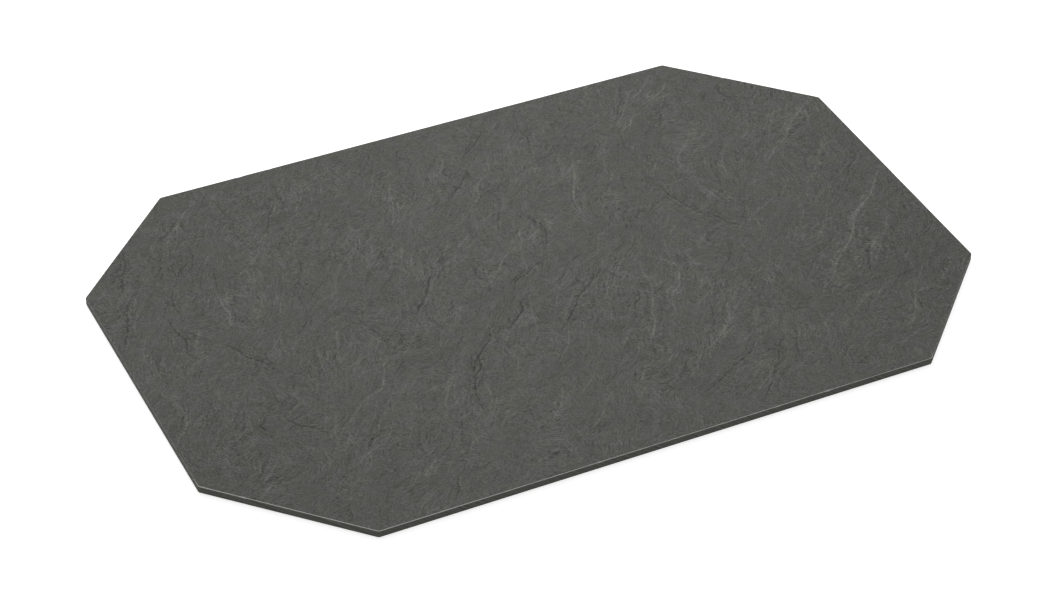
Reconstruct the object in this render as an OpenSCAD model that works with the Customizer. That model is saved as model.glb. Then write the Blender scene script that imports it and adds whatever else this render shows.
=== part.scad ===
/* [Slab] */
// Length of the slab along X, between its two end edges
slab_length = 1200; // [600:10:1800]
// Width of the slab along Y, between its two long edges
slab_width = 800; // [500:10:1200]
// Thickness of the stone
slab_thickness = 12; // [8:0.5:30]
// Length that each 45 degree corner cut takes off both of its sides
corner_cut = 180; // [100:5:300]
// Drop of the bevel that eases the top and bottom edges
edge_bevel = 1; // [0.5:0.1:3]
// Length that the eased upright corners take off both of their sides
corner_ease = 1.5; // [0.5:0.1:5]

/* [Pads] */
// Diameter of each round pad under the slab
pad_diameter = 25; // [15:1:40]
// Height of each pad, and so of the gap under the slab
pad_height = 3; // [2:0.5:6]
// Height and width of the bevel round the foot of each pad
pad_bevel = 0.6; // [0.2:0.1:1.5]
// Distance from the slab's edges to the centres of the pads along them
pad_inset = 60; // [30:5:100]
// Distance from the slab's middle to each of the two pads on its centre line
middle_pad_reach = 200; // [40:10:220]

/* [Hidden] */
$fn = 64;
stone_color = [0.35, 0.35, 0.34];
rubber_color = [0.07, 0.07, 0.07];

half_length = slab_length / 2;
half_width = slab_width / 2;
slab_bottom = pad_height;
slab_top = slab_bottom + slab_thickness;

// The sharp corners of the octagon, counter-clockwise from the right end of the rear edge
cut_x = half_length - corner_cut;
cut_y = half_width - corner_cut;
sharp_corners = [
    [cut_x, half_width],
    [-cut_x, half_width],
    [-half_length, cut_y],
    [-half_length, -cut_y],
    [-cut_x, -half_width],
    [cut_x, -half_width],
    [half_length, -cut_y],
    [half_length, cut_y]
];
corner_count = len(sharp_corners);

// Each sharp corner becomes two points, one on either side of its eased edge
outline = [
    for (i = [0 : corner_count - 1])
        for (neighbour = [i + corner_count - 1, i + 1])
            stepped(sharp_corners[i], sharp_corners[neighbour % corner_count], corner_ease)
];
outline_count = len(outline);

// Room by which the bevel cutters stand clear of the slab
cutter_margin = 2;

// Pads sit as far from both edges that meet at a corner: this is how far along the edge that puts them
pad_corner_shift = pad_inset * tan(45 / 2);
pad_x_by_long_edge = cut_x - pad_corner_shift;
pad_y_by_long_edge = half_width - pad_inset;
pad_x_by_end_edge = half_length - pad_inset;
pad_y_by_end_edge = cut_y - pad_corner_shift;
pad_places = concat(
    [for (x = [-1, 1]) for (y = [-1, 1]) [x * pad_x_by_long_edge, y * pad_y_by_long_edge]],
    [for (x = [-1, 1]) for (y = [-1, 1]) [x * pad_x_by_end_edge, y * pad_y_by_end_edge]],
    [for (y = [-1, 1]) [0, y * pad_y_by_long_edge]],
    [for (x = [-1, 1]) [x * middle_pad_reach, 0]]
);
pad_count = len(pad_places);

// The point that lies a given distance from one point towards another
function stepped(from, to, distance) = from + distance * (to - from) / norm(to - from);

// A three-sided bar lying along one edge of the outline, which cuts the bevel off that edge's rim
module bevel_cutter(from, to) {
    run = to - from;
    run_length = norm(run);
    translate([from.x, from.y, 0])
        rotate([0, 0, atan2(run.y, run.x)])
            translate([-cutter_margin, 0, 0])
                rotate([90, 0, 90])
                    linear_extrude(height = run_length + 2 * cutter_margin)
                        polygon([
                            [edge_bevel + cutter_margin, cutter_margin],
                            [-cutter_margin, cutter_margin],
                            [-cutter_margin, -edge_bevel - cutter_margin]
                        ]);
}

// Bevel cutters round the whole rim of a face that lies at z = 0 and looks up
module rim_cutters() {
    for (i = [0 : outline_count - 1])
        bevel_cutter(outline[i], outline[(i + 1) % outline_count]);
}

// The split stone plate with its sawn edges, eased along every rim and upright corner
module stone_slab() {
    color(stone_color)
        difference() {
            translate([0, 0, slab_bottom])
                linear_extrude(height = slab_thickness)
                    polygon(outline);
            translate([0, 0, slab_top])
                rim_cutters();
            translate([0, 0, slab_bottom])
                mirror([0, 0, 1])
                    rim_cutters();
        }
}

// A round pad that is stuck to the underside of the slab, with a bevelled foot
module pad(place) {
    color(rubber_color)
        translate([place.x, place.y, 0]) {
            translate([0, 0, pad_bevel])
                cylinder(h = pad_height - pad_bevel, d = pad_diameter);
            cylinder(h = pad_bevel, d1 = pad_diameter - 2 * pad_bevel, d2 = pad_diameter);
        }
}

stone_slab();
for (i = [1 : pad_count])
    pad(pad_places[i - 1]);
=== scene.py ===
import math
import random

import bpy
import numpy as np
from mathutils import Matrix, Vector, noise
from mathutils.geometry import delaunay_2d_cdt


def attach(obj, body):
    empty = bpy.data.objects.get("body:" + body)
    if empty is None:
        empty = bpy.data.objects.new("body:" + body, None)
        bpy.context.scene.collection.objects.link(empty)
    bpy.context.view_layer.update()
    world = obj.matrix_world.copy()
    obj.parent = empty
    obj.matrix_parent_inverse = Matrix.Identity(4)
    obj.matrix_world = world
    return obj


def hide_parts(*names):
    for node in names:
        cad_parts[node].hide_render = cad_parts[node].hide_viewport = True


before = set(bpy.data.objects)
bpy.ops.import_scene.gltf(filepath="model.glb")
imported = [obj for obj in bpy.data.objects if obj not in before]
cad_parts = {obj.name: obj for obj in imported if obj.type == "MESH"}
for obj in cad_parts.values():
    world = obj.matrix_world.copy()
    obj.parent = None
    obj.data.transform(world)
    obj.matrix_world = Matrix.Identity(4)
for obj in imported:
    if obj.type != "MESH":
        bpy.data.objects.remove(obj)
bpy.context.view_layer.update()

MM = 0.001
WHITE = (1, 1, 1, 1)

# The photograph's camera, found from the corners of the plate
IMAGE_WIDTH = 1048
FOCAL_LENGTH_PIXELS = 3062
SENSOR_WIDTH = 36
VIEW_AZIMUTH = math.radians(-26.657)
VIEW_ELEVATION = math.radians(38.358)
VIEW_ROLL = math.radians(1.143)
VIEW_DISTANCE = 4.345
VIEW_TARGET = Vector((-0.0389, -0.0462, 0.015))

# A soft lamp above the far side, in metres and watts, and even light from all round
LAMP_PLACE = Vector((0.2, 1.8, 3.4))
LAMP_SIZE = 2.2
LAMP_POWER = 97
WORLD_LIGHT = 0.5

# The floor: half its width in metres, its grey in the light, and the glow that makes it show white
FLOOR_REACH = 30
FLOOR_GREY = (0.62, 0.62, 0.62, 1)
FLOOR_GLOW = 0.76

# Direction of the stone's grain in the split face, from +X, and its turn per mm along X
GRAIN_ANGLE = math.radians(53)
GRAIN_TURN = math.radians(-0.02)

# Dark cracks in the split face: strength, then points in mm from the middle of the plate
CRACKS = [
    (0.9, [(-108, -76), (-113, -88), (-118, -103), (-137, -117), (-150, -133),
           (-158, -153), (-173, -170), (-185, -193), (-190, -217), (-192, -242)]),
    (0.8, [(-143, -124), (-164, -147), (-174, -166), (-183, -186)]),
    (0.5, [(-186, -193), (-200, -213), (-210, -237), (-222, -248)]),
    (0.9, [(-44, -38), (-47, -60), (-60, -73), (-72, -82), (-83, -92), (-97, -90)]),
    (0.6, [(30, 34), (5, 16), (-28, 0), (-42, -18)]),
    (0.6, [(-63, -108), (-50, -103), (-27, -99)]),
    (0.7, [(-27, -135), (2, -107), (25, -84), (41, -66), (61, -52), (89, -30), (103, -17)]),
    (0.7, [(120, -87), (113, -110), (100, -120), (88, -150)]),
    (0.5, [(133, -138), (121, -160), (106, -181)]),
    (0.8, [(-132, 63), (-148, 43), (-162, 22), (-180, 2), (-193, -13)]),
    (0.8, [(-465, 47), (-447, 18), (-440, -2), (-425, -20), (-415, -48)]),
    (0.8, [(-485, -132), (-476, -153), (-474, -180)]),
    (0.8, [(-445, -130), (-436, -158), (-423, -170), (-405, -184)]),
    (0.6, [(-367, -248), (-355, -230), (-333, -224), (-300, -222)]),
    (0.7, [(-538, 192), (-552, 178), (-565, 142), (-575, 117), (-594, 78)]),
    (0.8, [(-518, 140), (-511, 119), (-512, 90), (-505, 72), (-514, 43), (-507, 22)]),
    (0.8, [(-515, 298), (-524, 265), (-536, 243), (-550, 205)]),
    (0.6, [(-500, 292), (-482, 267), (-478, 250), (-484, 232), (-495, 221)]),
    (0.6, [(-494, 185), (-490, 164), (-494, 143), (-490, 119)]),
    (0.7, [(-268, 328), (-280, 305), (-295, 282), (-307, 253), (-303, 240)]),
    (0.6, [(-294, 183), (-294, 160), (-311, 131), (-331, 113)]),
    (0.6, [(-237, 173), (-244, 152), (-236, 134)]),
    (0.6, [(-175, 150), (-178, 135), (-183, 118)]),
    (0.6, [(-269, 28), (-266, 0), (-259, -22), (-255, -50)]),
    (0.5, [(-227, -35), (-228, -60), (-223, -80)]),
    (0.6, [(90, 355), (77, 347), (57, 326), (41, 315), (23, 298)]),
    (0.7, [(33, 287), (10, 259), (-20, 229), (-37, 218)]),
    (0.6, [(48, 150), (52, 130), (62, 106), (62, 88), (48, 60), (40, 46)]),
    (0.7, [(233, 278), (240, 284), (247, 274), (251, 263)]),
    (0.6, [(228, 252), (216, 240), (205, 222)]),
    (0.6, [(272, 268), (269, 245), (262, 220)]),
    (0.7, [(257, 152), (254, 138), (264, 119), (267, 98), (277, 62), (285, 42),
           (297, 28), (308, 12), (318, -8), (332, -23)]),
    (0.6, [(268, -205), (292, -218), (325, -230)]),
    (0.5, [(258, -157), (270, -150), (287, -132)]),
    (0.7, [(104, -331), (141, -311), (173, -293), (196, -282), (217, -262), (230, -252)]),
    (0.7, [(163, -384), (178, -366), (200, -343), (223, -315), (240, -290), (260, -270)]),
    (0.7, [(-307, -387), (-292, -370), (-280, -340)]),
    (0.6, [(-142, -293), (-138, -275), (-134, -260)]),
    (0.5, [(22, -272), (30, -255), (37, -245)]),
    (0.7, [(583, 77), (567, 56), (549, 43), (535, 22)]),
    (0.6, [(450, 305), (441, 297), (431, 284)]),
    (0.6, [(474, 316), (465, 298), (471, 277), (478, 262)]),
    (0.5, [(466, 252), (468, 236), (480, 222), (478, 207)]),
    (0.5, [(441, 135), (428, 122), (416, 110)]),
    (0.5, [(-427, 290), (-411, 286), (-393, 282)]),
    (0.5, [(-538, 238), (-527, 218)]),
    (0.6, [(-52, 362), (-60, 350), (-64, 336)]),
    (0.5, [(155, 382), (142, 367)]),
    (0.5, [(217, 376), (219, 348)]),
    (0.5, [(-86, 280), (-64, 278)]),
    (0.5, [(-140, -168), (-150, -195)]),
    (0.5, [(-596, -140), (-576, -146)]),
    (0.5, [(-204, -292), (-220, -299)]),
    (0.5, [(-443, -368), (-435, -348)]),
    (0.5, [(-85, -342), (-58, -327)]),
    (0.5, [(312, -346), (329, -325)]),
]

# Pale veins in the split face, in the same form
VEINS = [
    (1.0, [(361, -201), (386, -185), (417, -150), (441, -129), (466, -106),
           (486, -77), (503, -59), (538, -35), (571, 1), (595, 27)]),
    (0.5, [(453, -137), (458, -127), (467, -108)]),
    (0.9, [(146, -175), (147, -152), (158, -124), (177, -108),
           (187, -90), (196, -66), (185, -42), (168, -22)]),
    (0.8, [(80, -205), (97, -185), (110, -160), (120, -135),
           (134, -108), (146, -82), (144, -62), (153, -33)]),
    (0.8, [(105, -307), (114, -282), (125, -263), (148, -250),
           (180, -230), (206, -205), (222, -170), (248, -145)]),
    (0.5, [(112, -38), (114, -55), (124, -66)]),
    (0.5, [(36, -201), (49, -188), (73, -167)]),
    (0.5, [(23, -276), (28, -292), (22, -305)]),
    (0.5, [(228, -240), (212, -250), (198, -262)]),
    (0.7, [(-118, -298), (-100, -280), (-86, -262), (-74, -238)]),
    (0.5, [(-68, -160), (-45, -150), (-27, -132)]),
    (0.6, [(-146, -42), (-134, -27), (-122, -18)]),
    (0.6, [(-598, -135), (-587, -117), (-569, -97), (-563, -75), (-570, -40), (-588, 12)]),
    (0.7, [(-405, -188), (-398, -172), (-389, -148)]),
    (0.8, [(-366, -189), (-352, -170), (-333, -152), (-300, -137),
           (-287, -115), (-273, -91), (-247, -86)]),
    (0.5, [(-290, -167), (-255, -133)]),
    (0.7, [(-236, -208), (-220, -180), (-203, -160), (-188, -148)]),
    (0.8, [(-322, -328), (-305, -312), (-290, -300)]),
    (0.6, [(-537, -277), (-520, -264), (-503, -257)]),
    (0.6, [(-397, -271), (-370, -254), (-327, -233)]),
    (0.5, [(-175, -281), (-167, -268), (-150, -258)]),
    (0.5, [(-76, -333), (-57, -321), (-38, -298)]),
    (0.5, [(-325, -60), (-297, -27)]),
    (0.5, [(-523, -157), (-503, -143), (-488, -142)]),
    (0.9, [(-428, 155), (-430, 125), (-428, 97), (-435, 83), (-425, 67), (-416, 48)]),
    (0.6, [(-409, 43), (-399, 60), (-397, 73), (-387, 88), (-375, 111), (-377, 128)]),
    (0.6, [(-287, 68), (-279, 83), (-265, 92)]),
    (0.6, [(-308, 255), (-325, 238), (-340, 213), (-360, 194), (-381, 180), (-391, 167)]),
    (0.6, [(-305, 209), (-312, 178), (-323, 159)]),
    (0.5, [(-360, 275), (-373, 257)]),
    (0.6, [(-331, 350), (-303, 354), (-273, 356)]),
    (0.7, [(-366, 390), (-377, 370), (-399, 351), (-420, 325), (-440, 307), (-452, 284), (-463, 251)]),
    (0.5, [(-232, 328), (-204, 346), (-165, 357)]),
    (0.7, [(-100, 288), (-106, 268), (-115, 240), (-127, 213), (-136, 184)]),
    (0.5, [(-108, 292), (-94, 260), (-82, 232)]),
    (0.5, [(-212, 210), (-172, 201), (-145, 195)]),
    (0.6, [(53, 276), (37, 251), (17, 227), (9, 204), (-8, 190), (-24, 174), (-68, 140)]),
    (0.5, [(47, 278), (67, 270), (88, 262)]),
    (0.5, [(13, 324), (0, 313), (-11, 295), (-28, 274), (-43, 250)]),
    (0.7, [(53, 123), (26, 101), (1, 79), (-19, 57), (-37, 39), (-60, 16), (-85, 0)]),
    (0.5, [(42, 167), (10, 159), (-12, 147)]),
    (0.6, [(-72, 136), (-88, 112), (-112, 91), (-129, 78)]),
    (0.9, [(110, 98), (128, 108), (134, 135), (143, 160), (157, 184), (168, 208), (180, 241)]),
    (0.6, [(140, 188), (149, 208), (157, 238), (167, 255)]),
    (0.5, [(107, 217), (117, 235), (127, 256)]),
    (0.7, [(165, 308), (175, 328), (173, 350)]),
    (0.6, [(88, 280), (97, 293), (113, 312)]),
    (0.5, [(150, 60), (175, 56), (198, 50)]),
    (0.5, [(203, 157), (223, 183)]),
    (1.0, [(277, 257), (282, 267), (298, 277), (310, 290), (322, 300)]),
    (0.9, [(275, 280), (296, 300), (307, 314), (333, 337),
           (350, 345), (362, 357), (378, 372), (392, 386)]),
    (0.8, [(341, 314), (365, 326), (389, 340), (402, 357)]),
    (0.5, [(377, 304), (390, 294), (418, 294)]),
    (0.9, [(433, 95), (461, 121), (478, 134), (498, 148),
           (518, 171), (542, 191), (562, 206), (584, 221)]),
    (0.5, [(505, 202), (523, 226)]),
    (0.5, [(517, 88), (510, 60)]),
    (0.6, [(374, 228), (364, 207), (348, 191), (332, 179), (321, 159), (318, 127)]),
    (0.8, [(320, 104), (325, 77), (332, 48)]),
    (0.6, [(338, 38), (350, 54)]),
    (0.6, [(405, 21), (380, 8), (358, -6), (338, -18)]),
    (0.5, [(363, 2), (356, -14), (353, -45)]),
    (0.5, [(408, -65), (397, -83), (385, -98)]),
    (0.5, [(318, -105), (325, -118), (333, -138)]),
    (0.6, [(505, -261), (481, -265), (468, -278), (457, -297), (441, -317), (425, -333)]),
    (0.6, [(362, -270), (388, -256), (402, -246), (422, -237)]),
    (0.5, [(242, -346), (258, -328), (286, -310)]),
]

# Slow changes of tone over the face: share lighter or darker, then place and reach in mm
SHADES = [
    (-0.12, 570, -230, 200),
    (-0.03, 570, 170, 150),
    (-0.05, -580, -150, 200),
    (-0.05, -370, 350, 240),
    (0.05, 0, 170, 150),
    (0.04, -180, -260, 170),
]

# Half widths of cracks, veins and splinters, in mm; a crack's grows with its strength, from a thin start
CRACK_WIDTH = 1.2
CRACK_START = 0.3
VEIN_WIDTH = 1.3
SPLINTER_WIDTH = 1.1

# How far strokes wander off their course, and over what length, in mm
STROKE_WANDER = 1.8
SPLINTER_WANDER = 1.5
WANDER_LENGTH = 14

# How a stroke's strength varies along it, and how bluntly it tapers at its ends
UNEVEN_LENGTH = 22
UNEVEN_MEAN = 0.95
UNEVEN_SPREAD = 0.35
UNEVEN_LIMITS = (0.65, 1.15)
END_TAPER = 0.45

# Shares of a crack's strength that the painted highlight along its lip and its frayed skirt have, and how
# much wider the skirt is
LIP_HIGHLIGHT_SHARE = 0.4
SKIRT_SHARE = 0.17
SKIRT_SPREAD = 3.5

# Half width of the broken ground round a stroke, in mm, and how many reaches away a stroke still counts
ZONE_WIDTH = 11
FIELD_REACH = 3

# Splinters: small steps and ridges that follow the grain all over the face
SPLINTER_COUNT = 330
SPLINTER_SEED = 11
SPLINTER_LENGTHS = (25, 110)
SPLINTER_STRENGTHS = (0.2, 0.6)
SPLINTER_TURN = math.radians(15)
SPLINTER_BEND = 0.25

# Companions: shorter splinters beside the cracks and veins
COMPANION_LENGTHS = (12, 40)
COMPANION_GAPS = (2.5, 9)
COMPANION_STRENGTHS = (0.35, 0.85)
COMPANION_TILT = 0.3
COMPANION_BOW = 0.5
CRACK_COMPANION_SPACING = 17
CRACK_COMPANION_SEED = 23
VEIN_COMPANION_SPACING = 13
VEIN_COMPANION_SEED = 29

# Heights and lengths of the split face's relief, in mm, and the share of it that is left at the rim
CRACK_DEPTH = 0.35
CRACK_STEP = 0.22
CRACK_STEP_REACH = 14
VEIN_RISE = 0.12
SWELL_HEIGHT = 0.22
SWELL_LENGTH = 170
RIPPLE_HEIGHT = 0.10
RIPPLE_LENGTH = 26
EDGE_FADE = 14
RIM_RELIEF = 0.15

# How much wider than the CAD's the upper bevel is, in mm, so narrower where below 0, and how that varies
WEAR_MEAN = -0.3
WEAR_SPREAD = 0.12
WEAR_LENGTH = 30
WEAR_LEAST = -0.4

# Nicks in the upper edge: count, seed, and ranges of reach and depth in mm
NICK_COUNT = 16
NICK_SEED = 5
NICK_REACHES = (2.5, 5)
NICK_DEPTHS = (0.3, 0.7)

# Layers of the noise, one for each use of it, and how far apart they lie
WANDER_LAYER, UNEVEN_LAYER, SWELL_LAYER, RIPPLE_LAYER, WEAR_LAYER = range(1, 6)
LAYER_GAP = 7.31

# Spacing of the mesh, in mm, and rows of faces down its sides
FACE_STEP = 6.8
STROKE_STEP = 2.2
SPLINTER_STEP = 2.6
STROKE_CELL = 0.9
RIM_STEP = 2.5
SIDE_ROWS = 4
UNDERSIDE_STEP = 40

# Share of a step that the even grid keeps off strokes and rim, and steps of a curve between two points
GRID_CLEARANCE = 0.6
CURVE_STEPS = 8

# Mesh points beside each stroke, in half widths
STROKE_FLANKS = (0.8, 2)
SPLINTER_FLANKS = (1.3,)

# What the triangle filler makes, and the distance in mm within which it joins points
FILL_INSIDE = 1
FILL_JOIN = 1e-4

# Edges sharper than this show as edges
SHARP_ANGLE = math.radians(25)

# The texture map: share of its width that the split face fills, and places of the two large faces
MAP_FILL = 0.99
TOP_PLACE = (0.5, 0.665)
BACK_PLACE = (0.195, 0.165)
BACK_SHRINK = 0.38

# The edge on the texture map: strips one below the other, and runs of bevel and sides in them, in mm
STRIP_COUNT = 4
STRIP_LEFT = 0.41
STRIP_TOP = 0.31
STRIP_WIDTH = 0.58
STRIP_FILL = 0.98
STRIP_GAP = 0.075
STRIP_STRETCH = 2.0
BEVEL_RUN = 1.4
SIDE_RUN = 10

# The split stone's two tints, and how much each pattern lightens or darkens them
OLIVE_STONE = (0.0908, 0.0932, 0.0805, 1)
GREY_STONE = (0.0932, 0.0934, 0.0885, 1)
MEAN_TONE = 0.93
PATCH_TONE = 0.08
STREAK_TONE = 0.16
RIPPLE_TONE = 0.35
FLECK_TONE = 0.80
WRINKLE_TONE = 0.13
# The ledge tone paints light and shade on the two sides of each layer step
LEDGE_SHADING_TONE = 0.185
PALE_LINE_TONE = 0.28
PALE_THREAD_TONE = 0.22
DARK_LINE_TONE = -0.28
# The vein tone also lightens the painted highlights along the crack lips
VEIN_AND_LIP_HIGHLIGHT_TONE = 0.75
CRACK_TONE = 0.47

# How far the pattern swirls, in metres, and how steeply its cross steps slant to the grain
SWIRL = 0.12
CROSS_ANGLE = math.radians(60)

# Where the bevels carry a painted highlight: along the near side and its left corner cut, in metres
HIGHLIT_Y = (-0.218, -0.20)
HIGHLIT_X = (0.42, 0.43)

# How strong that painted highlight is there from left to right, and how worn the bevels are elsewhere
HIGHLIGHT_RUN = (-0.42, 0.42)
HIGHLIGHT_SHARES = (0.84, 0.40)
WORN_LEAST = 0.1

# The saw: the slant of its marks on the sides, and the middle of its arcs on the underside, in metres
SAW_SLANT = (0.8, 0.55, 1.0)
SAW_MIDDLE = (0.25, -2.1, 0.0)


def slab_rings(node):
    """The outlines of the CAD slab at each height where its shape changes, from the bottom up, in mm."""
    corners = np.array([vertex.co[:] for vertex in node.data.vertices]) / MM
    corners = np.unique(corners.round(3), axis=0)
    rings = []
    for height in np.unique(corners[:, 2]):
        ring = corners[corners[:, 2] == height]
        rings.append(ring[np.argsort(np.arctan2(ring[:, 1], ring[:, 0]))])
    return rings


UNDER_RIM, LOWER_RIM, UPPER_RIM, TOP_RIM = slab_rings(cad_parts["stone_slab"])
TOP = TOP_RIM[0, 2]
FACE_LOW = TOP_RIM[:, :2].min(axis=0)
FACE_HIGH = TOP_RIM[:, :2].max(axis=0)
MAP_SCALE = MAP_FILL / np.ptp(UPPER_RIM[:, 0])


def inside_depth(points):
    """How far each point lies inside the outline of the top face, in mm."""
    starts = TOP_RIM[:, :2]
    runs = np.roll(starts, -1, axis=0) - starts
    runs = runs / np.linalg.norm(runs, axis=1)[:, None]
    normals = np.stack([-runs[:, 1], runs[:, 0]], axis=1)
    return np.min(points @ normals.T - np.sum(starts * normals, axis=1), axis=1)


def noise_at(points, length, layer, octaves):
    """Noise from about -1 to 1 at each point, with waves of the given length in mm."""
    places = np.column_stack([points / length, np.full(len(points), layer * LAYER_GAP)])
    return np.array([noise.fractal(place, 1.0, 2.0, octaves) for place in places.tolist()])


def fade(values, start, end):
    """0 up to start, 1 from end on, and smooth between them."""
    share = np.clip((values - start) / (end - start), 0, 1)
    return share * share * (3 - 2 * share)


def bell(values):
    """1 at 0, falling off softly to both sides."""
    return np.exp(-values ** 2)


def smooth_path(points, step):
    """Points every step mm along a soft curve through the given points."""
    points = np.array(points, float)
    knots = [2 * points[0] - points[1], *points, 2 * points[-1] - points[-2]]
    curve = []
    for a, b, c, d in zip(knots, knots[1:], knots[2:], knots[3:]):
        for t in np.linspace(0, 1, CURVE_STEPS, endpoint=False):
            linear = (c - a) * t
            square = (2 * a - 5 * b + 4 * c - d) * t ** 2
            cubic = (3 * b - 3 * c + d - a) * t ** 3
            curve.append(b + (linear + square + cubic) / 2)
    curve = np.array([*curve, points[-1]])
    run = np.concatenate([[0], np.cumsum(np.linalg.norm(np.diff(curve, axis=0), axis=1))])
    stops = np.linspace(0, run[-1], max(3, round(run[-1] / step) + 1))
    return np.column_stack([np.interp(stops, run, curve[:, k]) for k in (0, 1)])


class Stroke:
    """A crack, vein or splinter: a wandering line in the split face that is strongest in its middle."""

    def __init__(self, strength, points, width,
                 wander=STROKE_WANDER, step=STROKE_STEP, flanks=STROKE_FLANKS):
        path = smooth_path(points, step)
        self.width = width
        self.flanks = flanks
        self.across = self.turned(path)
        sway = wander * noise_at(path, WANDER_LENGTH, WANDER_LAYER, octaves=3)
        self.path = path + self.across * sway[:, None]
        share = np.linspace(0, 1, len(path))
        taper = np.clip(np.sin(math.pi * share), 0, 1) ** END_TAPER
        uneven = UNEVEN_MEAN + UNEVEN_SPREAD * noise_at(path, UNEVEN_LENGTH, UNEVEN_LAYER, octaves=2)
        self.strength = strength * taper * np.clip(uneven, *UNEVEN_LIMITS)

    @staticmethod
    def turned(path):
        """Unit vectors to the left of the path at each of its points."""
        along = np.gradient(path, axis=0)
        along = along / np.linalg.norm(along, axis=1)[:, None]
        return np.column_stack([-along[:, 1], along[:, 0]])

    def mesh_points(self):
        """Places for mesh points along the stroke and beside it."""
        rows = [self.path]
        for flank in self.flanks:
            aside = self.across * self.width * flank
            rows += [self.path + aside, self.path - aside]
        return np.concatenate(rows)

    def near(self, points, reach):
        """Which points lie near the stroke, how far off it to its far side, and its strength there."""
        low = self.path.min(axis=0) - reach
        high = self.path.max(axis=0) + reach
        chosen = np.nonzero(np.all((points > low) & (points < high), axis=1))[0]
        gaps = points[chosen][:, None, :] - self.path[None, :, :]
        distances = np.linalg.norm(gaps, axis=2)
        closest = distances.argmin(axis=1)
        rows = np.arange(len(chosen))
        far = self.across * np.where(self.across[:, 1:] < 0, -1, 1)
        side = np.sum(gaps[rows, closest] * far[closest], axis=1)
        signed = np.copysign(distances[rows, closest], side)
        return chosen, signed, self.strength[closest]


def make_crack(strength, points):
    return Stroke(strength, points, CRACK_WIDTH * (CRACK_START + strength))


def make_vein(strength, points):
    return Stroke(strength, points, VEIN_WIDTH)


def make_splinter(strength, points):
    return Stroke(strength, points, SPLINTER_WIDTH, SPLINTER_WANDER, SPLINTER_STEP, SPLINTER_FLANKS)


def clear_of_rim(points):
    """Whether all the points lie where the relief has its full height."""
    return inside_depth(np.array(points)).min() > EDGE_FADE


def make_splinters():
    """Small strokes scattered over the face, each along the grain with some turn."""
    draw = random.Random(SPLINTER_SEED)
    splinters = []
    while len(splinters) < SPLINTER_COUNT:
        middle = np.array([draw.uniform(low, high) for low, high in zip(FACE_LOW, FACE_HIGH)])
        angle = GRAIN_ANGLE + GRAIN_TURN * middle[0] + draw.gauss(0, SPLINTER_TURN)
        half = draw.uniform(*SPLINTER_LENGTHS) / 2
        bend = draw.uniform(-SPLINTER_BEND, SPLINTER_BEND) * half
        along = np.array([math.cos(angle), math.sin(angle)])
        across = np.array([-along[1], along[0]])
        points = [middle - half * along, middle + bend * across, middle + half * along]
        strength = draw.uniform(*SPLINTER_STRENGTHS)
        if clear_of_rim(points):
            splinters.append(make_splinter(strength, points))
    return splinters


def make_companions(strokes, spacing, seed):
    """Short splinters beside the larger strokes, as broken stone has them, one every spacing mm."""
    draw = random.Random(seed)
    companions = []
    for stroke in strokes:
        for _ in range(round(len(stroke.path) * STROKE_STEP / spacing)):
            k = draw.randrange(1, len(stroke.path) - 1)
            across = stroke.across[k]
            along = np.array([across[1], -across[0]])
            middle = stroke.path[k] + across * draw.choice((-1, 1)) * draw.uniform(*COMPANION_GAPS)
            half = draw.uniform(*COMPANION_LENGTHS) / 2
            tilt = across * draw.uniform(-COMPANION_TILT, COMPANION_TILT)
            reach = half * (along + tilt)
            points = [middle - reach, middle + half * tilt * COMPANION_BOW, middle + reach]
            strength = stroke.strength[k] * draw.uniform(*COMPANION_STRENGTHS)
            if clear_of_rim(points):
                companions.append(make_splinter(strength, points))
    return companions


cracks = [make_crack(strength, points) for strength, points in CRACKS]
veins = [make_vein(strength, points) for strength, points in VEINS]
splinters = make_splinters()
crack_companions = make_companions(cracks, CRACK_COMPANION_SPACING, CRACK_COMPANION_SEED)
vein_companions = make_companions(veins, VEIN_COMPANION_SPACING, VEIN_COMPANION_SEED)
dark_strokes = cracks + splinters[::3] + crack_companions
pale_strokes = veins + splinters[1::3] + splinters[2::3] + vein_companions


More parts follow.
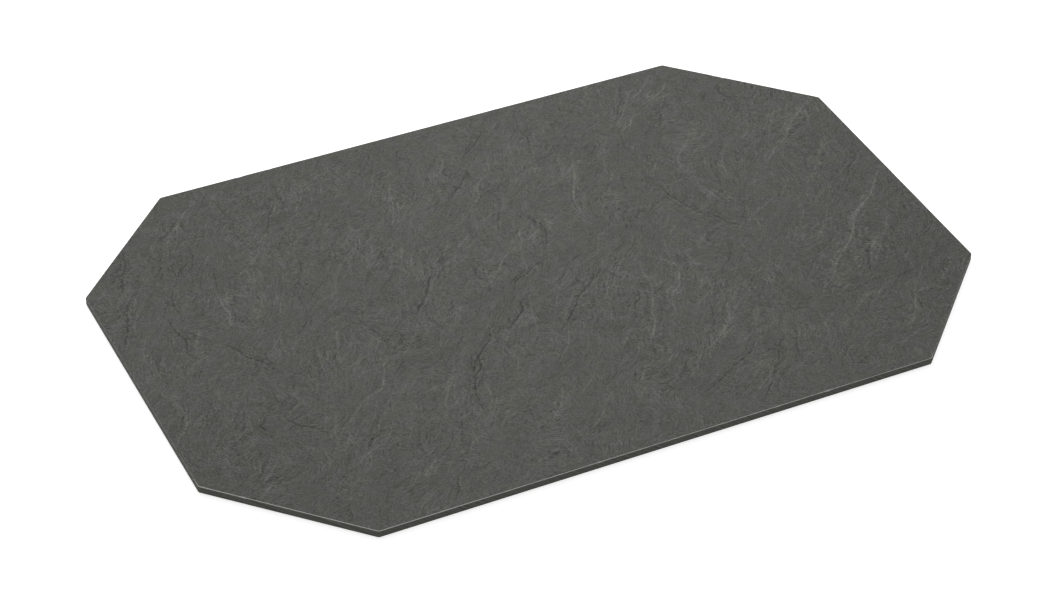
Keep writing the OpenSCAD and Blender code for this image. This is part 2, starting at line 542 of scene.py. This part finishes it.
class FaceFields:
    """Height, and shares of crack, vein with the painted highlights along crack lips, broken ground and
    shade, at points of the split face.
    """

    def __init__(self, points):
        self.points = points
        self.crack = np.zeros(len(points))
        self.vein_and_lip_highlight = np.zeros(len(points))
        self.zone = np.zeros(len(points))
        self.shade = np.zeros(len(points))
        self.height = SWELL_HEIGHT * noise_at(points, SWELL_LENGTH, SWELL_LAYER, octaves=3)
        self.height += RIPPLE_HEIGHT * noise_at(points, RIPPLE_LENGTH, RIPPLE_LAYER, octaves=3)
        for stroke in dark_strokes:
            self.add_dark(stroke)
        for stroke in pale_strokes:
            self.add_pale(stroke)
        self.height *= RIM_RELIEF + (1 - RIM_RELIEF) * fade(inside_depth(points), 0, EDGE_FADE)
        for amount, x, y, reach in SHADES:
            away = np.linalg.norm(points - (x, y), axis=1)
            self.shade += amount * bell(away / reach)

    @staticmethod
    def raise_to(field, chosen, values):
        """Brings the chosen places of a field up to values, where it is below them."""
        field[chosen] = np.maximum(field[chosen], values)

    def add_dark(self, stroke):
        """A groove with a frayed skirt, a painted highlight along its near lip and a step down on its far
        side.
        """
        chosen, offset, strength = stroke.near(self.points, CRACK_STEP_REACH * FIELD_REACH)
        across = offset / stroke.width
        groove = strength * bell(across)
        skirt = SKIRT_SHARE * strength * bell(across / SKIRT_SPREAD)
        # Painted highlight: the near lip of the crack is made pale in colour, as if it caught the light
        lip_highlight = LIP_HIGHLIGHT_SHARE * strength * bell(across + stroke.flanks[-1])
        step = (1 + np.tanh(across)) / 2 * np.exp(-np.abs(offset) / CRACK_STEP_REACH)
        self.height[chosen] -= CRACK_DEPTH * groove + CRACK_STEP * strength * step
        self.raise_to(self.crack, chosen, groove + skirt)
        self.raise_to(self.vein_and_lip_highlight, chosen, lip_highlight)
        self.raise_to(self.zone, chosen, strength * bell(offset / ZONE_WIDTH))

    def add_pale(self, stroke):
        """A low ridge."""
        chosen, offset, strength = stroke.near(self.points, ZONE_WIDTH * FIELD_REACH)
        ridge = strength * bell(offset / stroke.width)
        self.height[chosen] += VEIN_RISE * ridge
        self.raise_to(self.vein_and_lip_highlight, chosen, ridge)
        self.raise_to(self.zone, chosen, strength * bell(offset / ZONE_WIDTH))

    def surface(self):
        """The points of the face, its highest one level with the top of the CAD slab."""
        return np.column_stack([self.points, TOP - (self.height.max() - self.height)])


def hex_grid(step):
    """Points in rows over the box of the top face, every other row shifted by half a step."""
    rows = np.arange(FACE_LOW[1], FACE_HIGH[1], step * math.sqrt(3) / 2)
    points = []
    for index, y in enumerate(rows):
        xs = np.arange(FACE_LOW[0] + (index % 2) * step / 2, FACE_HIGH[0], step)
        points.append(np.column_stack([xs, np.full(len(xs), y)]))
    return np.concatenate(points)


def cell_of(point, size):
    """The square cell of the given size in which a point lies."""
    return math.floor(point[0] / size), math.floor(point[1] / size)


def thinned(points, size, taken):
    """The points that fall in cells not taken before, one per cell."""
    kept = []
    for point in points:
        cell = cell_of(point, size)
        if cell not in taken:
            taken.add(cell)
            kept.append(point)
    return np.array(kept)


def face_points():
    """Mesh points of the split face: close together along the strokes, and an even grid elsewhere."""
    strokes = np.concatenate([stroke.mesh_points() for stroke in dark_strokes + pale_strokes])
    strokes = thinned(strokes[inside_depth(strokes) > RIM_STEP], STROKE_CELL, set())
    clearance = FACE_STEP * GRID_CLEARANCE
    grid = hex_grid(FACE_STEP)
    grid = grid[inside_depth(grid) > clearance]
    grid = thinned(grid, clearance, {cell_of(point, clearance) for point in strokes})
    return np.concatenate([strokes, grid])


def along_ring(ring, counts):
    """Points along a closed outline, with the given count of steps on each of its edges."""
    points = []
    for start, end, count in zip(ring, np.roll(ring, -1, axis=0), counts):
        points += [start + (end - start) * k / count for k in range(count)]
    return np.array(points)


def ring_runs(ring):
    """How far along a closed ring each of its points lies, in mm, and last the whole way round."""
    steps = np.diff(ring[:, :2], axis=0, append=ring[:1, :2])
    return np.concatenate([[0], np.cumsum(np.linalg.norm(steps, axis=1))])


def fill_ring(ring, inner):
    """Triangles that fill a ring and use the inner points, as rows of indexes into ring, then inner."""
    places = [Vector(point) for point in np.concatenate([ring[:, :2], inner])]
    outline = list(range(len(ring)))
    made = delaunay_2d_cdt(places, [], [outline], FILL_INSIDE, FILL_JOIN)
    triangles, origins = made[2], made[3]
    return [[origins[corner][0] for corner in triangle] for triangle in triangles]


def worn_rims():
    """The rings of the slab's edge from the top down, with a slightly uneven bevel and small nicks."""
    edges = np.linalg.norm(np.roll(UPPER_RIM, -1, axis=0) - UPPER_RIM, axis=1)
    counts = [max(1, round(edge / RIM_STEP)) for edge in edges]
    rims = (TOP_RIM, UPPER_RIM, LOWER_RIM, UNDER_RIM)
    top, upper, lower, under = (along_ring(rim, counts) for rim in rims)
    wear = WEAR_SPREAD * noise_at(upper[:, :2], WEAR_LENGTH, WEAR_LAYER, octaves=3) + WEAR_MEAN
    draw = random.Random(NICK_SEED)
    for _ in range(NICK_COUNT):
        middle = upper[draw.randrange(len(upper)), :2]
        reach = draw.uniform(*NICK_REACHES)
        away = np.linalg.norm(upper[:, :2] - middle, axis=1)
        wear += draw.uniform(*NICK_DEPTHS) * bell(away / reach)
    wear = np.maximum(wear, WEAR_LEAST)
    inward = (top - upper)[:, :2]
    top[:, :2] += inward * wear[:, None]
    upper[:, 2] -= wear
    return top, upper, lower, under


class SlabMesh:
    """Collects the points, faces, materials and map places of the slab; runs lie along its edge."""

    SPLIT, GROUND, SAWN, BACK = range(4)

    def __init__(self, runs):
        self.runs = runs
        self.points = []
        self.faces = []
        self.kinds = []
        self.places = []

    def add_points(self, points):
        """Adds points and returns the index of the first."""
        first = sum(len(batch) for batch in self.points)
        self.points.append(points)
        return first

    def add_flat(self, triangles, first, points, kind, place, scale):
        """Adds the triangles of a flat face, mapped straight down."""
        for triangle in triangles:
            self.faces.append([first + corner for corner in triangle])
            self.kinds.append(kind)
            spots = points[triangle][:, :2] * scale + place
            self.places.extend(spots.tolist())

    def add_band(self, upper, lower, depths, kind):
        """Adds a band of quads between two rings of points, mapped as strips."""
        count = len(self.runs) - 1
        strip_run = self.runs[-1] / STRIP_COUNT
        scale = STRIP_WIDTH / strip_run * STRIP_FILL
        for k in range(count):
            after = (k + 1) % count
            self.faces.append([upper + k, lower + k, lower + after, upper + after])
            self.kinds.append(kind)
            strip = k * STRIP_COUNT // count
            left, right = STRIP_LEFT + (self.runs[k:k + 2] - strip * strip_run) * scale
            base = STRIP_TOP - strip * STRIP_GAP
            high, low = (base - depth * MAP_SCALE * STRIP_STRETCH for depth in depths)
            self.places.extend([(left, high), (left, low), (right, low), (right, high)])


def add_split_face(slab, rim):
    """Adds the split face inside its rim, and returns the index of its first point and its fields."""
    inner = face_points()
    fields = FaceFields(np.concatenate([rim[:, :2], inner]))
    face = fields.surface()
    first = slab.add_points(face)
    slab.add_flat(fill_ring(rim, inner), first, face, slab.SPLIT, TOP_PLACE, MAP_SCALE)
    return first, fields


def add_sides(slab, face_first, upper, lower):
    """Adds the upper bevel and the sawn sides, and returns the index where their lowest row starts."""
    rows = [upper + (lower - upper) * k / SIDE_ROWS for k in range(SIDE_ROWS + 1)]
    firsts = [slab.add_points(row) for row in rows]
    slab.add_band(face_first, firsts[0], (0, BEVEL_RUN), slab.GROUND)
    for k in range(SIDE_ROWS):
        depth = BEVEL_RUN + SIDE_RUN * k / SIDE_ROWS
        slab.add_band(firsts[k], firsts[k + 1], (depth, depth + SIDE_RUN / SIDE_ROWS), slab.SAWN)
    return firsts[-1]


def add_back(slab, side_first, rim):
    """Adds the lower bevel and the sawn underside."""
    middle = hex_grid(UNDERSIDE_STEP)
    middle = middle[inside_depth(middle) > UNDERSIDE_STEP / 2]
    back = np.concatenate([rim, np.column_stack([middle, np.full(len(middle), rim[0, 2])])])
    first = slab.add_points(back)
    depth = BEVEL_RUN + SIDE_RUN
    slab.add_band(side_first, first, (depth, depth + BEVEL_RUN), slab.GROUND)
    downward = [triangle[::-1] for triangle in fill_ring(rim, middle)]
    slab.add_flat(downward, first, back, slab.BACK, BACK_PLACE, MAP_SCALE * BACK_SHRINK)


def slab_object(slab, fields):
    """The slab as an object, with its texture map, the fields of its split face and its materials."""
    points = np.concatenate(slab.points) * MM
    mesh = bpy.data.meshes.new("split_stone_plate")
    mesh.from_pydata(points.tolist(), [], slab.faces)
    mesh.polygons.foreach_set("material_index", slab.kinds)
    mesh.polygons.foreach_set("use_smooth", [True] * len(slab.faces))
    mesh.uv_layers.new(name="OFBake").uv.foreach_set("vector", np.ravel(slab.places))
    elsewhere = np.zeros(len(points) - len(fields.points))
    for name in ("crack", "vein_and_lip_highlight", "zone", "shade"):
        layer = mesh.attributes.new(name, "FLOAT", "POINT")
        layer.data.foreach_set("value", np.concatenate([getattr(fields, name), elsewhere]))
    mesh.set_sharp_from_angle(angle=SHARP_ANGLE)
    mesh.validate()
    piece = bpy.data.objects.new("split_stone_plate", mesh)
    bpy.context.collection.objects.link(piece)
    for material in (split_stone(), ground_edge(), sawn_edge(), sawn_back()):
        mesh.materials.append(material)
    return piece


def make_slab():
    """The split stone plate as one closed mesh, in place of the CAD slab."""
    top, upper, lower, under = worn_rims()
    slab = SlabMesh(ring_runs(upper))
    face_first, fields = add_split_face(slab, top)
    side_first = add_sides(slab, face_first, upper, lower)
    add_back(slab, side_first, under)
    piece = slab_object(slab, fields)
    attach(piece, "root")
    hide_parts("stone_slab")


class NodeTree:
    """Adds nodes to a tree one at a time: a socket given as an input is linked, anything else is set."""

    # Lines along the middle of a noise: its detail, and how far aside its slope is probed, in waves
    LINE_DETAIL = 2
    PROBE = 0.1

    # The least slope that such a line is taken to have, and shares of it between which the line fades in
    LEAST_SLOPE = 0.2
    FADE_SLOPES = (0.5, 2)

    # What brings the peak of a step's painted light and shade to 1
    STEP_GAIN = 2.6

    def __init__(self, tree):
        self.tree = tree

    def add(self, kind, inputs=None, **settings):
        node = self.tree.nodes.new(kind)
        for name, value in settings.items():
            setattr(node, name, value)
        for name, value in (inputs or {}).items():
            self.put(node.inputs[name], value)
        return node

    def put(self, socket, value):
        if isinstance(value, bpy.types.NodeSocket):
            self.tree.links.new(value, socket)
        else:
            socket.default_value = value

    def math(self, operation, *values):
        return self.add("ShaderNodeMath", dict(enumerate(values)), operation=operation).outputs[0]

    def vector(self, operation, *values):
        return self.add("ShaderNodeVectorMath", dict(enumerate(values)), operation=operation).outputs[0]

    def measure(self, operation, first, second):
        """A number from two vectors, such as their distance."""
        node = self.add("ShaderNodeVectorMath", {0: first, 1: second}, operation=operation)
        return node.outputs["Value"]

    def times(self, first, second):
        return self.math("MULTIPLY", first, second)

    def plus(self, value, amount, base):
        """base plus value times amount."""
        return self.math("MULTIPLY_ADD", value, amount, base)

    def around(self, value, amount, base):
        """base plus what value, from 0 to 1, differs from a half, times amount."""
        return self.plus(self.math("SUBTRACT", value, 0.5), amount, base)

    def spread(self, value, old, new):
        """value with the range old stretched to the range new, and held there beyond."""
        inputs = {"Value": value, "From Min": old[0], "From Max": old[1]}
        inputs.update({"To Min": new[0], "To Max": new[1]})
        return self.add("ShaderNodeMapRange", inputs).outputs["Result"]

    def mapped(self, vector, turn=0.0, across=1.0):
        """vector turned about Z, or with its second direction stretched."""
        inputs = {"Vector": vector, "Rotation": (0, 0, turn), "Scale": (1, across, 1)}
        return self.add("ShaderNodeMapping", inputs).outputs[0]

    def noise_node(self, vector, scale, detail, roughness=0.55, distortion=0.0):
        inputs = {"Vector": vector, "Scale": scale, "Detail": detail}
        inputs.update({"Roughness": roughness, "Distortion": distortion})
        return self.add("ShaderNodeTexNoise", inputs)

    def noise(self, vector, **inputs):
        return self.noise_node(vector, **inputs).outputs["Fac"]

    def rows(self, distance, scale, detail):
        """Noise along one measure alone, which shows as parallel lines."""
        inputs = {"W": distance, "Scale": scale, "Detail": detail}
        return self.add("ShaderNodeTexNoise", inputs, noise_dimensions="1D").outputs["Fac"]

    def contour(self, vector, scale):
        """How far each place lies across the grain from where a noise passes through its middle, in the
        vector's units, and a share that fades where such a line turns across the grain."""
        level = self.noise(vector, scale=scale, detail=self.LINE_DETAIL)
        probe = self.PROBE / scale
        moved = self.vector("ADD", vector, (0.0, probe, 0.0))
        beside = self.noise(moved, scale=scale, detail=self.LINE_DETAIL)
        rise = self.math("ABSOLUTE", self.math("SUBTRACT", beside, level))
        slope = self.math("DIVIDE", rise, probe)
        least = self.LEAST_SLOPE * scale
        steady = self.math("MAXIMUM", slope, least)
        away = self.math("DIVIDE", self.math("SUBTRACT", level, 0.5), steady)
        return away, self.spread(slope, [share * least for share in self.FADE_SLOPES], (0, 1))

    def crests(self, vector, scale, width):
        """Thin winding lines along the middle of a noise, from 0 beside them to 1 on them."""
        away, share = self.contour(vector, scale)
        return self.times(self.spread(self.math("ABSOLUTE", away), (0, width), (1, 0)), share)

    def painted_ledge_shading(self, vector, scale, width):
        """Painted light and shade of thin winding steps along the middle of a noise: 1 on the lit side and
        -1 on the shaded side.
        """
        away, share = self.contour(vector, scale)
        across = self.spread(away, (-width, width), (-1, 1))
        hump = self.math("SUBTRACT", 1, self.times(across, across))
        gain = self.times(share, self.STEP_GAIN)
        return self.times(self.times(across, hump), gain)

    def attribute(self, name):
        return self.add("ShaderNodeAttribute", attribute_name=name).outputs["Fac"]

    def mix(self, share, first, second):
        node = self.add("ShaderNodeMix", data_type="RGBA")
        for name, value in (("Factor_Float", share), ("A_Color", first), ("B_Color", second)):
            self.put(next(s for s in node.inputs if s.identifier == name), value)
        return next(s for s in node.outputs if s.identifier == "Result_Color")

    def shaded(self, color, tone):
        """color made lighter or darker by tone."""
        return self.add("ShaderNodeVectorMath", {0: color, "Scale": tone}, operation="SCALE").outputs[0]

    def seen_directly(self):
        """1 for rays from the camera, off gloss or through glass, and 0 for light that falls on things."""
        path = self.add("ShaderNodeLightPath").outputs
        shiny = self.math("MAXIMUM", path["Is Glossy Ray"], path["Is Transmission Ray"])
        return self.math("MAXIMUM", path["Is Camera Ray"], shiny)


class Material(NodeTree):
    """A material's nodes, with its shader and the place on the object."""

    def __init__(self, name):
        self.material = bpy.data.materials.new(name)
        self.material.use_nodes = True
        super().__init__(self.material.node_tree)
        self.shader = self.tree.nodes["Principled BSDF"]
        self.place = self.add("ShaderNodeTexCoord").outputs["Object"]

    def bump(self, height, distance, strength):
        inputs = {"Height": height, "Distance": distance, "Strength": strength}
        self.put(self.shader.inputs["Normal"], self.add("ShaderNodeBump", inputs).outputs[0])

    def finish(self, color, roughness, specular):
        self.put(self.shader.inputs["Base Color"], color)
        self.put(self.shader.inputs["Roughness"], roughness)
        self.put(self.shader.inputs["Specular IOR Level"], specular)
        return self.material


class SplitFace(Material):
    """The split face's patterns along the stone's grain, and the tone and bumps that they add up to."""

    def __init__(self):
        super().__init__("split_stone")
        self.find_places()
        self.make_grain()
        self.make_lines()
        self.make_ledge_shading()

    def find_places(self):
        """Places in a slight swirl, turned to the grain, then drawn out along it or slanting to it."""
        swing = self.noise_node(self.place, scale=7, detail=1).outputs["Color"]
        shift = self.vector("SUBTRACT", swing, (0.5, 0.5, 0.5))
        self.swirl = self.vector("MULTIPLY_ADD", shift, (SWIRL, SWIRL, SWIRL), self.place)
        turned = self.mapped(self.swirl, turn=-GRAIN_ANGLE)
        self.drawn_out = self.mapped(turned, across=1.1)
        self.slender = self.mapped(turned, across=2.8)
        self.rising = self.mapped(turned, turn=CROSS_ANGLE)
        self.falling = self.mapped(turned, turn=-CROSS_ANGLE)

    def make_grain(self):
        """Patches, streaks, ripples and flecks, and how lively the finer ones are at each place."""
        self.patches = self.noise(self.swirl, scale=14, detail=3)
        self.streaks = self.noise(self.slender, scale=24, detail=6, roughness=0.62, distortion=0.5)
        self.ripples = self.noise(self.drawn_out, scale=105, detail=5, roughness=0.65, distortion=0.8)
        self.flecks = self.noise(self.place, scale=400, detail=3)
        rough_ground = self.spread(self.noise(self.place, scale=26, detail=3), (0.36, 0.64), (0.8, 1.2))
        self.lively = self.plus(self.attribute("zone"), 0.35, rough_ground)

    def make_lines(self):
        """Thin pale and dark lines along the grain, each on its own ground, and wrinkles across it."""
        self.pale_ground = self.spread(self.noise(self.place, scale=12, detail=3), (0.42, 0.6), (0, 1))
        dark_ground = self.spread(self.noise(self.place, scale=13, detail=3), (0.4, 0.58), (1, 0))
        pale_lines = self.crests(self.slender, scale=12, width=0.005)
        pale_threads = self.crests(self.slender, scale=27, width=0.004)
        dark_lines = self.crests(self.slender, scale=17, width=0.004)
        self.pale_lines = self.times(pale_lines, self.pale_ground)
        self.pale_threads = self.times(pale_threads, self.pale_ground)
        self.dark_lines = self.times(dark_lines, dark_ground)
        self.wrinkles = self.crests(self.rising, scale=85, width=0.002)

    def make_ledge_shading(self):
        """Painted light and shade of the broken layers' steps, each lighter on one side and darker on the
        other: large ones along the grain, smaller ones along and across it.
        """
        large = self.times(self.painted_ledge_shading(self.slender, scale=11, width=0.007), self.pale_ground)
        patchy = self.spread(self.patches, (0.42, 0.58), (0.3, 1))
        middling = self.times(self.painted_ledge_shading(self.slender, scale=23, width=0.006), patchy)
        small = self.painted_ledge_shading(self.drawn_out, scale=66, width=0.003)
        rising = self.painted_ledge_shading(self.rising, scale=75, width=0.0024)
        falling = self.painted_ledge_shading(self.falling, scale=75, width=0.0024)
        along = self.plus(small, 0.5, self.math("ADD", large, middling))
        self.steps = self.plus(self.math("ADD", rising, falling), 1.15, along)

    def tint(self):
        """The stone's own colour, which differs a little from mineral to mineral."""
        minerals = self.spread(self.noise(self.place, scale=45, detail=3), (0.42, 0.58), (0, 1))
        return self.mix(minerals, OLIVE_STONE, GREY_STONE)

    def grain_tone(self):
        """How light the stone is by its slow shades and its grain."""
        tone = self.math("ADD", self.attribute("shade"), MEAN_TONE)
        tone = self.around(self.patches, PATCH_TONE, tone)
        tone = self.around(self.streaks, STREAK_TONE, tone)
        tone = self.around(self.ripples, self.times(self.lively, RIPPLE_TONE), tone)
        return self.around(self.flecks, self.times(self.lively, FLECK_TONE), tone)

    def line_tone(self, tone):
        """tone with the lines, wrinkles and the painted light and shade of the steps added."""
        tone = self.plus(self.wrinkles, self.times(self.lively, WRINKLE_TONE), tone)
        # Painted light and shade: each layer step lighter on one side and darker on the other
        tone = self.plus(self.steps, self.times(self.lively, LEDGE_SHADING_TONE), tone)
        tone = self.plus(self.pale_lines, PALE_LINE_TONE, tone)
        tone = self.plus(self.pale_threads, PALE_THREAD_TONE, tone)
        return self.plus(self.dark_lines, DARK_LINE_TONE, tone)

    def stroke_tone(self, tone):
        """tone with the veins, the painted highlights along crack lips, and the cracks added, all broken
        up by the grit of the stone.
        """
        grit = self.around(self.flecks, 0.9, self.ripples)
        broken = self.spread(grit, (0.36, 0.6), (0.5, 1.1))
        frayed = self.spread(grit, (0.6, 0.36), (0.45, 1.1))
        vein_and_lip_highlight = self.times(self.attribute("vein_and_lip_highlight"), broken)
        crack = self.times(self.attribute("crack"), frayed)
        tone = self.math("ADD", self.spread(vein_and_lip_highlight, (0, 1), (0, VEIN_AND_LIP_HIGHLIGHT_TONE)), tone)
        return self.times(tone, self.spread(crack, (0, 0.7), (1, CRACK_TONE)))

    def relief(self):
        """Height of the grain and the lines, for the bumps too fine for the mesh."""
        grain = self.around(self.streaks, 0.4, 0.5)
        grain = self.around(self.ripples, 0.5, grain)
        grain = self.around(self.flecks, 0.5, grain)
        lines = self.math("SUBTRACT", self.math("ADD", self.pale_lines, self.wrinkles), self.dark_lines)
        return self.plus(lines, 0.12, grain)


def split_stone():
    """The split face: grey stone with streaks, flecks, pale wisps and veins, and dark cracks."""
    n = SplitFace()
    tone = n.stroke_tone(n.line_tone(n.grain_tone()))
    n.bump(n.relief(), distance=0.002, strength=1.0)
    roughness = n.spread(n.streaks, (0.2, 0.8), (0.9, 0.7))
    return n.finish(n.shaded(n.tint(), tone), roughness, specular=0.12)


def ground_edge():
    """The bevel ground along the edges: scratched stone, a little worn all round, with a painted highlight
    that makes it palest along the near side.
    """
    n = Material("ground_edge")
    fresh = (0.10, 0.102, 0.095, 1)
    pale = (0.46, 0.465, 0.44, 1)
    scuffs = n.noise(n.place, scale=160, detail=5, roughness=0.6)
    along = n.add("ShaderNodeSeparateXYZ", {0: n.place}).outputs
    # Painted highlight: the bevel along the near side and its left corner cut is made pale, as if it
    # caught the light
    near = n.spread(along["Y"], HIGHLIT_Y, (1, 0))
    near = n.times(near, n.spread(along["X"], HIGHLIT_X, (1, 0)))
    # wear here is the painted highlight added to the slight real wear of the bevels all round
    wear = n.plus(near, n.spread(along["X"], HIGHLIGHT_RUN, HIGHLIGHT_SHARES), WORN_LEAST)
    worn_and_highlit = n.math("ADD", wear, n.around(scuffs, 1.1, 0.0))
    n.bump(scuffs, distance=0.0004, strength=0.5)
    return n.finish(n.mix(worn_and_highlit, fresh, pale), n.spread(scuffs, (0.3, 0.7), (0.5, 0.7)), specular=0.3)


def sawn_edge():
    """The sawn sides: dark stone with faint slanting saw marks."""
    n = Material("sawn_edge")
    dark = (0.068, 0.068, 0.061, 1)
    light = (0.130, 0.131, 0.118, 1)
    marks = n.rows(n.measure("DOT_PRODUCT", n.place, SAW_SLANT), scale=260, detail=3)
    flecks = n.noise(n.place, scale=420, detail=4, roughness=0.6)
    mixed = n.math("ADD", n.times(marks, 0.6), n.times(flecks, 0.4))
    color = n.mix(n.spread(mixed, (0.3, 0.7), (0, 1)), dark, light)
    n.bump(mixed, distance=0.0005, strength=0.5)
    return n.finish(color, n.spread(mixed, (0.3, 0.7), (0.85, 0.65)), specular=0.13)


def sawn_back():
    """The underside: sawn flat, with the wide arcs that a saw blade leaves."""
    n = Material("sawn_back")
    dark = (0.068, 0.069, 0.065, 1)
    light = (0.118, 0.12, 0.113, 1)
    arcs = n.rows(n.measure("DISTANCE", n.place, SAW_MIDDLE), scale=90, detail=4)
    clouds = n.noise(n.place, scale=9, detail=5)
    flecks = n.noise(n.place, scale=420, detail=3)
    mixed = n.math("ADD", n.times(arcs, 0.35), n.times(clouds, 0.4))
    mixed = n.math("ADD", mixed, n.times(flecks, 0.25))
    grooves = n.math("ADD", n.times(arcs, 0.7), n.times(flecks, 0.3))
    color = n.mix(n.spread(mixed, (0.32, 0.68), (0, 1)), dark, light)
    n.bump(grooves, distance=0.0005, strength=0.4)
    return n.finish(color, n.spread(mixed, (0.3, 0.7), (0.8, 0.6)), specular=0.3)


def pad_rubber():
    """The pads: dull black rubber with a moulded grain and a trace of dust."""
    n = Material("pad_rubber")
    black = (0.016, 0.016, 0.017, 1)
    dusty = (0.045, 0.044, 0.041, 1)
    grain = n.noise(n.place, scale=1500, detail=3)
    dust = n.noise(n.place, scale=140, detail=4)
    color = n.mix(n.spread(dust, (0.45, 0.7), (0, 1)), black, dusty)
    n.bump(grain, distance=0.0002, strength=0.4)
    return n.finish(color, n.spread(dust, (0.3, 0.7), (0.7, 0.92)), specular=0.35)


def dress_pads():
    rubber = pad_rubber()
    for name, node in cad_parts.items():
        if name.startswith("pad_"):
            for place in node.material_slots:
                place.material = rubber


def make_floor():
    """A wide pale floor that shows white but keeps the plate's shadow."""
    corners = [(x * FLOOR_REACH, y * FLOOR_REACH, 0) for x, y in ((-1, -1), (1, -1), (1, 1), (-1, 1))]
    mesh = bpy.data.meshes.new("floor")
    mesh.from_pydata(corners, [], [(0, 1, 2, 3)])
    floor = bpy.data.objects.new("floor", mesh)
    bpy.context.collection.objects.link(floor)
    n = Material("floor")
    n.put(n.shader.inputs["Emission Color"], WHITE)
    n.put(n.shader.inputs["Emission Strength"], n.times(n.seen_directly(), FLOOR_GLOW))
    mesh.materials.append(n.finish(FLOOR_GREY, roughness=0.9, specular=0.0))


def make_world():
    """Even white light from all round, which shows as white where it is seen."""
    world = bpy.data.worlds.new("studio")
    bpy.context.scene.world = world
    world.use_nodes = True
    n = NodeTree(world.node_tree)
    back = n.tree.nodes["Background"]
    n.put(back.inputs["Color"], WHITE)
    n.put(back.inputs["Strength"], n.spread(n.seen_directly(), (0, 1), (WORLD_LIGHT, 1)))


def aimed(place, target, roll=0.0):
    """A transform at place that looks at target, with its up side turned by roll."""
    back = (place - target).normalized()
    right = Vector((0, 0, 1)).cross(back).normalized()
    up = back.cross(right)
    turned = Matrix((right, up, back)).transposed() @ Matrix.Rotation(roll, 3, "Z")
    return Matrix.Translation(place) @ turned.to_4x4()


def make_lamp():
    """A round soft lamp over the plate."""
    lamp = bpy.data.lights.new("softbox", "AREA")
    lamp.shape = "DISK"
    lamp.size = LAMP_SIZE
    lamp.energy = LAMP_POWER
    light = bpy.data.objects.new("softbox", lamp)
    light.matrix_world = aimed(LAMP_PLACE, Vector((0, 0, 0)))
    bpy.context.collection.objects.link(light)


def make_camera():
    """The photograph's camera."""
    data = bpy.data.cameras.new("camera")
    data.sensor_width = SENSOR_WIDTH
    data.lens = SENSOR_WIDTH * FOCAL_LENGTH_PIXELS / IMAGE_WIDTH
    camera = bpy.data.objects.new("camera", data)
    away = Vector((math.sin(VIEW_AZIMUTH) * math.cos(VIEW_ELEVATION),
                   -math.cos(VIEW_AZIMUTH) * math.cos(VIEW_ELEVATION),
                   math.sin(VIEW_ELEVATION)))
    camera.matrix_world = aimed(VIEW_TARGET + away * VIEW_DISTANCE, VIEW_TARGET, VIEW_ROLL)
    bpy.context.collection.objects.link(camera)
    bpy.context.scene.camera = camera


make_slab()
dress_pads()
make_floor()
make_world()
make_lamp()
make_camera()
bpy.context.scene.view_settings.view_transform = "Standard"
